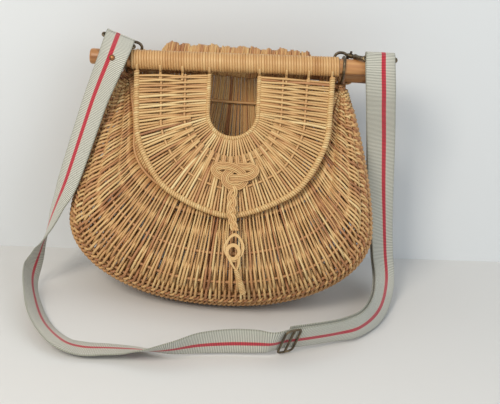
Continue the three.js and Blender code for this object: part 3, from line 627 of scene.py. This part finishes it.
# Lid: split canes that run from the slot's rim out to the lid's rim, a flat half moon with a slight bow.
# They pass over and under two U-shaped ribs, and low down every second one starts at the first rib.
LID_SLOPE, LID_BOW, LID_TOP = math.radians(25), 3.0, 14.0
HOLE_HALF, HOLE_DOWN, RIM_R, HOLE_R = 24.5, 80.0, 3.25, 2.5
OUTLINE = [(12, 109), (45, 107.5), (80, 105), (109, 94), (136, 76), (151, 54), (163, 27), (169, 0)]
LID_UP = np.array([0, -math.cos(LID_SLOPE), math.sin(LID_SLOPE)])


def lid_point(across, down, out=0.0):
    across, down, out = np.broadcast_arrays(*(np.asarray(v, float) for v in (across, down, out)))
    bowed = out + LID_BOW * (1 - (across / OUTLINE[0][1]) ** 2)
    fall = np.stack([0 * down, -down * math.sin(LID_SLOPE), -down * math.cos(LID_SLOPE)], -1)
    return skewed(FRONT_BAR + fall + across[..., None] * (1, 0, 0) + bowed[..., None] * LID_UP)


def lid_edge(inset):
    """The lid's outline moved in, left top to tip to right top."""
    half = [(h, d) for d, h in OUTLINE] + [(-OUTLINE[-2][1], OUTLINE[-2][0])]
    half = smooth_line(half, 10)[:-10]
    whole = np.vstack([half * (-1, 1), half[::-1][1:]])
    way = unit(np.gradient(whole, axis=0))
    return whole + np.stack([way[:, 1], -way[:, 0]], -1) * inset


def hole_edge(offset):
    """The fish slot's outline moved out: straight sides and a half circle."""
    half, centre = HOLE_HALF + offset, HOLE_DOWN - HOLE_HALF
    angle = np.pi * (1 - np.linspace(0, 1, 41))
    arc = np.stack([half * np.cos(angle), centre + half * np.sin(angle)], -1)
    return np.vstack([[(-half, LID_TOP)], arc, [(half, LID_TOP)]])


SIDE_N, LOW_N, FINE = 17, 84, 4
outer, inner = lid_edge(RIM_R), hole_edge(1.0)
outer = outer[outer[:, 1] >= LID_TOP]
turn_k = int(np.argmax(outer[:, 1] > 66))


def three_runs(line, first, last_k):
    runs = [(line[: first + 1], SIDE_N), (line[first : last_k + 1], LOW_N), (line[last_k:], SIDE_N)]
    lines = [spaced(part, n * FINE) for part, n in runs]
    return np.vstack([lines[0][:-1], lines[1][:-1], lines[2]])


outer_line = three_runs(outer, turn_k, len(outer) - 1 - turn_k)
inner_line = three_runs(inner, 1, len(inner) - 2)
U_RIBS, LID_RIB, LID_STRAND = (0.34, 0.665), 1.35, 1.2
lid_parts = []
for share in U_RIBS:
    flat = inner_line + (outer_line - inner_line) * share
    line = lid_point(flat[:, 0], flat[:, 1])
    lid_parts.append((line, LID_UP, LID_RIB, LID_RIB, 7, 0.5))
total_n = 2 * SIDE_N + LOW_N
for k in range(total_n):
    at = k * FINE + FINE // 2
    low = SIDE_N <= k < SIDE_N + LOW_N
    begin = U_RIBS[0] - 0.09 if low and k % 2 else 0.0
    u = np.linspace(begin, 1, 26)
    lift = (LID_RIB + LID_STRAND) * 0.95 * (1 if k // (2 if low else 1) % 2 else -1)
    first, second = U_RIBS
    stops = (0, first - 0.07, first, first + 0.05, second - 0.05, second, 0.74, 1)
    out = lift * np.interp(u, stops, (0, 0.6, 1, 0.9, -0.9, -1, -0.8, 0))
    wobble = 0.35 * np.sin(u * rng.uniform(3, 8) + rng.uniform(0, 6.3)) * np.sin(np.pi * u)
    a, b = inner_line[at], outer_line[at]
    flat = a + (b - a) * u[:, None]
    cross = unit(np.array([-(b - a)[1], (b - a)[0]]))
    flat = flat + cross * wobble[:, None]
    line = lid_point(flat[:, 0], flat[:, 1], out)
    size = LID_STRAND * rng.uniform(0.88, 1.1) * np.interp(u, (0, 0.3, 1), (0.85 if low else 1.0, 1, 1.05))
    tone = np.clip(rng.normal(0.6, 0.15), 0, 1)
    lid_parts.append((line, LID_UP, size * 1.05, size * 0.85, 6, tone))
strands("lid_weave", lid_parts, cane, "lid", "lid_panel")

# Rims of the lid and of the fish slot: a core of cane,
# wrapped close with a narrow split cane.
for name, flat, radius, pitch, node in (
    ("wrapped_rim", lid_edge(RIM_R), RIM_R, 2.5, "lid_rim"),
    ("wrapped_slot", hole_edge(HOLE_R), HOLE_R, 2.3, "hole_rim"),
):
    flat = spaced(flat, 260)
    line = lid_point(flat[:, 0], flat[:, 1])
    core = radius - 1.05
    parts = [(line, LID_UP, core, core, 8, 0.3)]
    outward = np.broadcast_to(LID_UP, line.shape)
    parts += coil_turns(line, outward, core, pitch, pitch * 0.52, 0.55, 11, 5, 0.68, 0.09)
    strands(name, parts, cane, "lid", node)

# Wrapping of the front dowel: close turns of glossy cane.
# The ends of the lid's ribs and rims are lashed over it, four at each side.
bar_cane = cane_material(
    "wrap_cane", [(0, "#9C6E40"), (0.35, "#B98C58"), (0.7, "#CCA672"), (1, "#E0C48E")], spread=0.5, rough=0.42
)
WRAP_HALF, WRAP_R = 112, 10.9
bar_x = np.linspace(-WRAP_HALF, WRAP_HALF, 60)
bar_line = skewed(FRONT_BAR + bar_x[:, None] * (1, 0, 0))
wrap_parts = [(bar_line, (0, 0, 1), 9.4, 9.4, 20, 0.2)]
outward = np.broadcast_to((0.0, -0.8, 0.6), bar_line.shape)
wrap_parts += coil_turns(bar_line, outward, 9.2, 2.85, 1.5, 0.8, 30, 6, 0.52, 0.09)
for across in (-105, -80, -56, -27, 27, 56, 80, 105):
    angle = np.radians(np.linspace(247, 196, 10))
    reach = np.linspace(WRAP_R + 0.9, WRAP_R - 0.2, 10)
    arc = FRONT_BAR + np.stack([0 * angle + across, reach * np.cos(angle), reach * np.sin(angle)], -1)
    foot = lid_point(across, LID_TOP + 8, 0.6)
    line = np.vstack([[foot], skewed(arc)])
    wrap_parts.append((smooth_line(line, 2), LID_UP, 1.5, 1.2, 7, 0.72))
strands("bar_lapping", wrap_parts, bar_cane, "lid", "bar_wrap")

# Rings and snap clips, of aged brass: a ring passes round both dowels at each end.
# Each clip is a hook with its gate and lever, a swivel and a flat eye for the strap.


def brass_material():
    """Aged brass, in patches from nearly black to worn brown."""
    mat, nodes, links = new_material("aged_brass")
    mat["slot"] = "antique_metal"
    shader = nodes["Principled BSDF"]
    where = nodes.new("ShaderNodeTexCoord")
    wear = add(nodes, "ShaderNodeTexNoise", Scale=220.0, Detail=4.0)
    links.new(where.outputs["Object"], wear.inputs["Vector"])
    tone = ramp(nodes, [(0.3, "#4A4238"), (0.55, "#6E6250"), (0.75, "#9A8560")])
    gloss = add(nodes, "ShaderNodeMapRange")
    gloss.inputs["To Min"].default_value, gloss.inputs["To Max"].default_value = 0.28, 0.55
    links.new(wear.outputs["Fac"], tone.inputs["Fac"])
    links.new(wear.outputs["Fac"], gloss.inputs["Value"])
    links.new(tone.outputs["Color"], shader.inputs["Base Color"])
    links.new(gloss.outputs[0], shader.inputs["Roughness"])
    shader.inputs["Metallic"].default_value = 0.9
    bump = add(nodes, "ShaderNodeBump", Strength=0.15, Distance=0.0002)
    links.new(wear.outputs["Fac"], bump.inputs["Height"])
    links.new(bump.outputs["Normal"], shader.inputs["Normal"])
    return mat


brass = brass_material()
RING_X, RING_HALF, RING_WIRE, RING_GAP = 117, 13.0, 1.5, 1.2
HOOK_Y, HOOK_TALL, HOOK_WIRE = 50.5, 6.0, 1.6
EYE_HALF, EYE_TALL, EYE_WIRE, EYE_GAP = 18, 2.6, 1.5, 1.5


def ring_line(side, count):
    x = side * RING_X
    front = FRONT_BAR[1:] + (0, x * math.sin(LID_SKEW))
    back = BACK_BAR[1:]
    centre, way = (front + back) / 2, unit(back - front)
    half = np.linalg.norm(back - front) / 2 + BAR_R + RING_GAP + RING_WIRE
    angle = 2 * np.pi * np.arange(count) / count
    a, b = half * np.cos(angle), RING_HALF * np.sin(angle)
    y, z = centre[0] + a * way[0] - b * way[1], centre[1] + a * way[1] + b * way[0]
    return np.stack([np.full(count, x), y, z], -1)


def loop_points(centre, wide_way, wide, tall_way, tall, squareness, count):
    angle = 2 * np.pi * (np.arange(count) + 0.5) / count
    c, s = np.cos(angle), np.sin(angle)
    c = np.sign(c) * np.abs(c) ** (1 - squareness)
    s = np.sign(s) * np.abs(s) ** (1 - squareness / 2)
    return centre + c[:, None] * np.asarray(wide_way) * wide + s[:, None] * np.asarray(tall_way) * tall


def clip(side, inset, hook_half, line, wide, face, over, body_to_side):
    """One snap clip between its ring and the strap's eye."""
    ring = ring_line(side, 200)
    high = ring[ring[:, 2] > 254]
    near = high[np.argmin(np.abs(high[:, 1] - HOOK_Y))]
    hook = np.array([side * (RING_X - inset), HOOK_Y, near[2]])
    eye = line - over * (EYE_TALL + EYE_WIRE) - face * (STRAP_HALF + EYE_WIRE + EYE_GAP)
    start = hook + (side * hook_half * 0.8, 0, HOOK_TALL * 0.6)
    end = eye + wide * body_to_side * EYE_HALF
    hook_line = loop_points(hook, (1, 0, 0), hook_half, (0, 0, 1), HOOK_TALL, 0.1, 40)
    eye_line = loop_points(eye, wide, EYE_HALF, over, EYE_TALL, 0.6, 48)
    parts = [
        (hook_line, (0, 1, 0), HOOK_WIRE, HOOK_WIRE, 10, 0.5, True),
        (eye_line, face, EYE_WIRE, EYE_WIRE, 10, 0.5, True),
    ]
    share = np.array([0, 0.06, 0.1, 0.34, 0.38, 0.44, 0.5, 0.56, 0.62, 0.66, 0.92, 1])
    size = np.array([1.5, 2.2, 2.7, 2.7, 2.0, 2.0, 3.1, 3.1, 2.0, 2.4, 2.4, 1.6])
    body = start + (end - start) * share[:, None]
    parts.append((body, (0, 1, 0.2), size, size, 14, 0.5))
    lever = start + (end - start) * 0.22 + np.array([(0, -1.5, 2), (0.4, -2.6, 4), (0.8, -3.0, 5.6)])
    parts.append((smooth_line(lever, 4), (1, 0, 0), 0.9, 1.3, 8, 0.5))
    gate = hook + np.array([(-hook_half * 0.7, 1.2, 4.6), (0, 1.6, 6.4), (hook_half * 0.7, 1.2, 4.6)])
    parts.append((smooth_line(gate, 5), (0, 1, 0), 0.9, 0.9, 8, 0.5))
    return parts


line, wide, face = ends["strap_long"]
for side, name, args in (
    (-1, "left", (5, 9.5, line[0], wide[0], face[0], unit(line[0] - line[1]), 0)),
    (1, "right", (2.5, 7, line[-1], wide[-1], face[-1], unit(line[-1] - line[-2]), 1)),
):
    ring = ring_line(side, 64)
    wire = [(ring, (1, 0, 0), RING_WIRE, RING_WIRE, 12, 0.5, True)]
    strands(name + "_ring_wire", wire, brass, "basket", name + "_ring")
    strands(name + "_snap_clip", clip(side, *args), brass, "basket", name + "_clip")

# Adjuster slide: a bent wire frame with a bar across its middle, on the strap's front.
# It is the same aged brass as the clips.
SLIDE_HALF, SLIDE_TALL, SLIDE_WIRE, SLIDE_GAP = 18, 8.6, 1.35, 1.45
slide_line, slide_wide, slide_face = strap_frames(slide_station - 1, slide_station, 8, 0.0)
centre, across, out = slide_line[-1], slide_wide[-1], slide_face[-1]
along = unit(centre - slide_line[-2])
middle = centre + out * (STRAP_HALF + SLIDE_WIRE + SLIDE_GAP)
frame_wire = loop_points(middle, across, SLIDE_HALF, along, SLIDE_TALL, 0.8, 64)
bar = middle + across * np.linspace(-17.5, 17.5, 9)[:, None] + out * 0.3
slide_parts = [(frame_wire, out, SLIDE_WIRE, 1.1, 10, 0.5, True), (bar, out, 1.5, 1.1, 10, 0.5)]
strands("slide_frame", slide_parts, brass, "basket", "strap_slide")

# Rivet: a domed head of worn copper that holds the strap's turned-over end at the left.
# It stands just proud of the webbing.


def copper_material():
    """The rivet: worn copper with a warm shine."""
    mat, nodes, links = new_material("worn_copper")
    shader = nodes["Principled BSDF"]
    where = nodes.new("ShaderNodeTexCoord")
    wear = add(nodes, "ShaderNodeTexNoise", Scale=700.0, Detail=3.0)
    links.new(where.outputs["Object"], wear.inputs["Vector"])
    tone = ramp(nodes, [(0.35, "#6E4A30"), (0.65, "#A8754A")])
    links.new(wear.outputs["Fac"], tone.inputs["Fac"])
    links.new(tone.outputs["Color"], shader.inputs["Base Color"])
    shader.inputs["Metallic"].default_value = 0.8
    shader.inputs["Roughness"].default_value = 0.4
    return mat


copper = copper_material()
pin, pin_wide, pin_out = (a[8] for a in strap_frames(0, 2, 8, 0.0))
rise = np.array([0, 0.5, 1.2, 1.7, 2.0])
dome = pin + pin_out * (STRAP_HALF + 0.3 + rise)[:, None]
dome_r = np.array([3.2, 3.2, 2.7, 1.7, 0.4])
strands("rivet_dome", [(dome, pin_wide, dome_r, dome_r, 24, 0.5)], copper, "basket", "strap_rivet")

# Closure knot: five thin canes laid side by side in a three-lobed knot on the lid.
# It rises and dips where the bundle crosses itself.
KNOT_DOWN, KNOT_ACROSS, KNOT_STRETCH = 119.0, 5.0, 1.06
t = np.linspace(0, 2 * np.pi, 200, endpoint=False)
knot_x = 7.4 * (np.sin(t) + 2 * np.sin(2 * t))
knot_y = -4.3 * (np.cos(t) - 2 * np.cos(2 * t)) + 2.8
knot_way = unit(np.stack([np.gradient(knot_x), np.gradient(knot_y)], -1))
knot_parts = []
for cane_n in range(5):
    aside = (cane_n - 2) * 1.72
    x = KNOT_ACROSS + KNOT_STRETCH * knot_x - knot_way[:, 1] * aside
    y = KNOT_DOWN + knot_y + knot_way[:, 0] * aside
    out = 5.3 + 1.25 * np.sin(3 * t) + 0.12 * rng.standard_normal()
    tone = np.clip(rng.normal(0.62, 0.1), 0, 1)
    knot_parts.append((lid_point(x, y, out), LID_UP, 0.8, 0.65, 7, tone, True))
strands("cane_knot", knot_parts, cane, "lid", "closure_knot")

# Closure plait: three pairs of thin cane from the knot, crossing loosely
# down over the lid's rim to the loop.
plait = np.array([(3.5, 15, 4.8), (3, 27, 5), (3.2, 39, 8.6), (3.6, 48, 9.4), (5.5, 56, 12), (7.8, 63, 17)])
plait = smooth_line(plait, 16)
share = np.linspace(0, 1, len(plait))
plait_parts = []
for strand_n in range(3):
    for pair in (-0.55, 0.55):
        phase = 2 * np.pi * (1.9 * share + strand_n / 3)
        across = plait[:, 0] + 3.7 * np.sin(phase) * (1 - 0.4 * share) + pair * 2.0
        line = lid_point(across, KNOT_DOWN + plait[:, 1], plait[:, 2] + 1.1 * np.sin(2 * phase))
        plait_parts.append((line, LID_UP, 1.05, 0.75, 6, np.clip(rng.normal(0.66, 0.1), 0, 1)))
strands("cane_plait", plait_parts, cane, "lid", "closure_plait")

# Closure loop: three thin canes that end the plait in a narrow eye.
# It slips over the staple on the basket's front.
LOOP_AT, LOOP_TILT = np.array([14, -67.6, 86.8]), 0.75
loop_parts = []
for n, (wide_by, high_by, lift) in enumerate(((9.3, 11.2, 0.4), (8.2, 11.6, -0.5), (10.0, 10.4, -0.2))):
    angle = 2 * np.pi * np.arange(60) / 60
    pinch = 1 - 0.28 * np.clip(np.sin(angle), 0, 1) ** 2
    rise = high_by * np.sin(angle) + lift
    place = LOOP_AT + np.stack([wide_by * pinch * np.cos(angle), rise * LOOP_TILT - 0.4 * n, rise], -1)
    loop_parts.append((place, (0, -0.8, 0.6), 0.9, 0.75, 7, 0.66 + 0.06 * n, True))
strands("cane_loop", loop_parts, cane, "lid", "closure_loop")

# Toggle: a ring of three canes at its head, four strands that run together below it,
# and a wrapped stick that hangs down over the weave.
toggle_parts = []
for n, radius in enumerate((5.2, 6.3, 7.3)):
    angle = 2 * np.pi * np.arange(48) / 48
    rise = radius * np.sin(angle)
    place = np.array([13.2, -74.0, 84.0]) + np.stack([radius * np.cos(angle), rise * 0.55, rise], -1)
    toggle_parts.append((place, (0, -0.85, 0.5), 0.85, 0.75, 7, 0.7, True))
neck = np.array([18.0, -80.4, 65.5])
for x, tone in ((7.2, 0.7), (9.2, 0.8), (18.6, 0.65), (20.6, 0.75)):
    start = np.array([x, -77.0, 81.0])
    bow = (start + neck) / 2 + (1.0 if x > 14 else -0.6, -0.6, 0)
    toggle_parts.append((smooth_line([start, bow, neck], 8), (0, -1, 0), 0.9, 0.75, 7, tone))
stick = smooth_line([neck + (-0.6, 0, 2), neck, (23.0, -80.8, 52.6), (26.6, -79.6, 40.5)], 14)
stick_r = np.interp(np.linspace(0, 1, len(stick)), (0, 0.15, 0.6, 0.96, 1), (1.2, 1.5, 2.3, 2.9, 2.4))
toggle_parts.append((stick, (0, -1, 0), stick_r, stick_r, 10, 0.5))
outward = np.broadcast_to((0.0, -1.0, 0.0), stick.shape)
toggle_parts += coil_turns(stick, outward, stick_r - 0.3, 1.75, 0.9, 0.5, 14, 5, 0.72, 0.08)
strands("cane_toggle", toggle_parts, cane, "lid", "closure_peg")

# Staple: two short canes bent out of the weave on the basket's front,
# for the closure's loop to slip over.
top_p, top_n = on_net(12.75, 0.515)
low_p, low_n = on_net(12.25, 0.515)
bow = (top_p + low_p) / 2 + top_n * 8
staple = smooth_line([top_p + top_n, top_p + top_n * 6, bow, low_p + low_n * 6, low_p + low_n], 6)
staple_parts = [(staple + (dx, 0, 0), (1, 0, 0), 0.9, 0.8, 7, 0.75) for dx in (-1.0, 0.9)]
strands("cane_staple", staple_parts, cane, "basket")

# Floor and wall: plain pale planes, each seen from its front only, so that views from behind are clear.
# The light is a soft key lamp at the left, a weaker fill at the right and a pale sky.


def stage_plane(name, corners, colour):
    mesh = bpy.data.meshes.new(name)
    mesh.from_pydata(corners, [], [[0, 1, 2, 3]])
    mat, nodes, links = new_material(name)
    nodes["Principled BSDF"].inputs["Base Color"].default_value = linear(colour)
    nodes["Principled BSDF"].inputs["Roughness"].default_value = 0.8
    side = nodes.new("ShaderNodeNewGeometry")
    clear = nodes.new("ShaderNodeBsdfTransparent")
    either = nodes.new("ShaderNodeMixShader")
    links.new(side.outputs["Backfacing"], either.inputs[0])
    links.new(nodes["Principled BSDF"].outputs[0], either.inputs[1])
    links.new(clear.outputs[0], either.inputs[2])
    links.new(either.outputs[0], nodes["Material Output"].inputs["Surface"])
    mesh.materials.append(mat)
    obj = bpy.data.objects.new(name, mesh)
    bpy.context.scene.collection.objects.link(obj)


stage_plane("floor", [(-4, -4, 0), (4, -4, 0), (4, 4, 0), (-4, 4, 0)], "#D2D3D2")
wall_left, wall_right = (-2.213, -0.105), (2.202, 0.345)
stage_plane("wall", [(*wall_left, 0), (*wall_right, 0), (*wall_right, 3), (*wall_left, 3)], "#D3D8DB")


def area_light(name, place, aim, size, power, colour):
    data = bpy.data.lights.new(name, "AREA")
    data.size, data.energy, data.color = size, power, linear(colour)[:3]
    obj = bpy.data.objects.new(name, data)
    obj.location = place
    obj.rotation_euler = (Vector(aim) - Vector(place)).to_track_quat("-Z", "Y").to_euler()
    bpy.context.scene.collection.objects.link(obj)


area_light("key", (-0.75, -1.5, 1.35), (0, 0, 0.12), 0.7, 27, "#FFF4E6")
area_light("fill", (1.2, -1.2, 1.0), (0, 0, 0.12), 1.2, 9, "#F2F5FA")
world = bpy.data.worlds.new("world")
bpy.context.scene.world = world
world.use_nodes = True
world.node_tree.nodes["Background"].inputs["Color"].default_value = linear("#E9ECEE")
world.node_tree.nodes["Background"].inputs["Strength"].default_value = 0.62
bpy.context.scene.view_settings.view_transform = "Standard"
